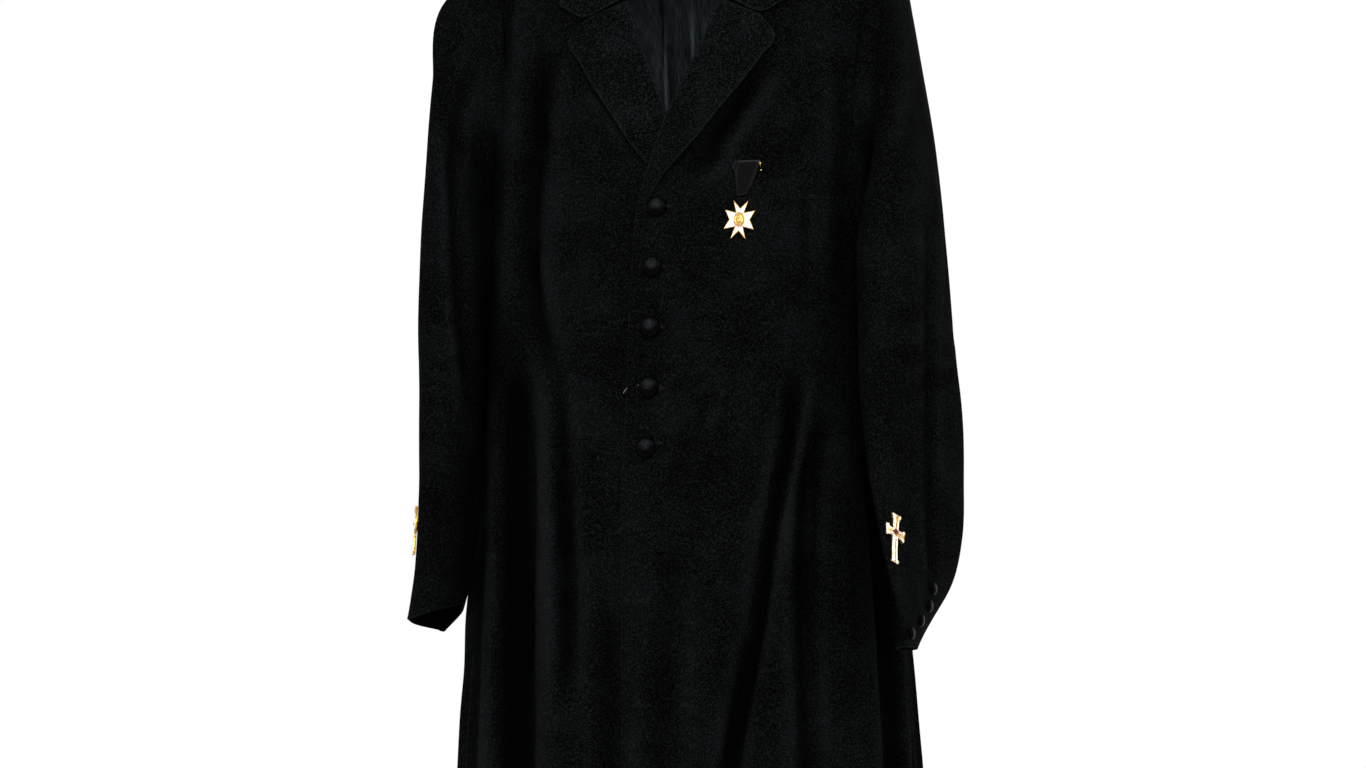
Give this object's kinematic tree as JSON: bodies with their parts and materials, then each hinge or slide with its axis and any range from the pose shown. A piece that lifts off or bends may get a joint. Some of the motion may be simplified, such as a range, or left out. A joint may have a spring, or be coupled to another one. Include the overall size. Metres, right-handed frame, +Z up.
{
  "type": "frock coat",
  "caption": "Knee-length single-breasted wool frock coat, worn and hollow, with notched lapels, a waist seam, covered buttons, sleeve crosses and a breast badge.",
  "frame": {"origin": "middle of the neck at the height of the side neck points, where the wearer's shoulders carry the coat", "axes": "+Z up, -Y out of the coat's front, +X towards the wearer's left"},
  "size_m": [0.5523, 0.3674, 1.0791],
  "materials": {
    "wool": "matt milled wool",
    "lapel_wool": "matt milled wool, pressed",
    "sateen": "soft sheen",
    "covered_button": "matt cloth over a shell",
    "bullion": "metal thread embroidery",
    "ribbon": "ribbed silk",
    "enamel": "gloss enamel",
    "gilt": "gilt"
  },
  "bodies": {
    "root": {"forepart_left": "wool", "sidebody_left": "wool", "back_left": "wool", "skirt_left": "wool", "topsleeve_left": "wool", "undersleeve_left": "wool", "lapel_left": "lapel_wool", "waist_button_left": "covered_button", "cuff_button_left_1": "covered_button", "cuff_button_left_2": "covered_button", "cuff_button_left_3": "covered_button", "cuff_button_left_4": "covered_button", "sleeve_cross_left": "bullion", "forepart_right": "wool", "sidebody_right": "wool", "back_right": "wool", "skirt_right": "wool", "topsleeve_right": "wool", "undersleeve_right": "wool", "lapel_right": "lapel_wool", "waist_button_right": "covered_button", "cuff_button_right_1": "covered_button", "cuff_button_right_2": "covered_button", "cuff_button_right_3": "covered_button", "cuff_button_right_4": "covered_button", "sleeve_cross_right": "bullion", "collar": "lapel_wool", "back_lining": "sateen", "front_button_1": "covered_button", "front_button_2": "covered_button", "front_button_3": "covered_button", "front_button_4": "covered_button", "front_button_5": "covered_button", "badge_ribbon": "ribbon", "badge_pin": "gilt", "badge_cross": "enamel", "badge_boss": "gilt"}
  },
  "joints": []
}
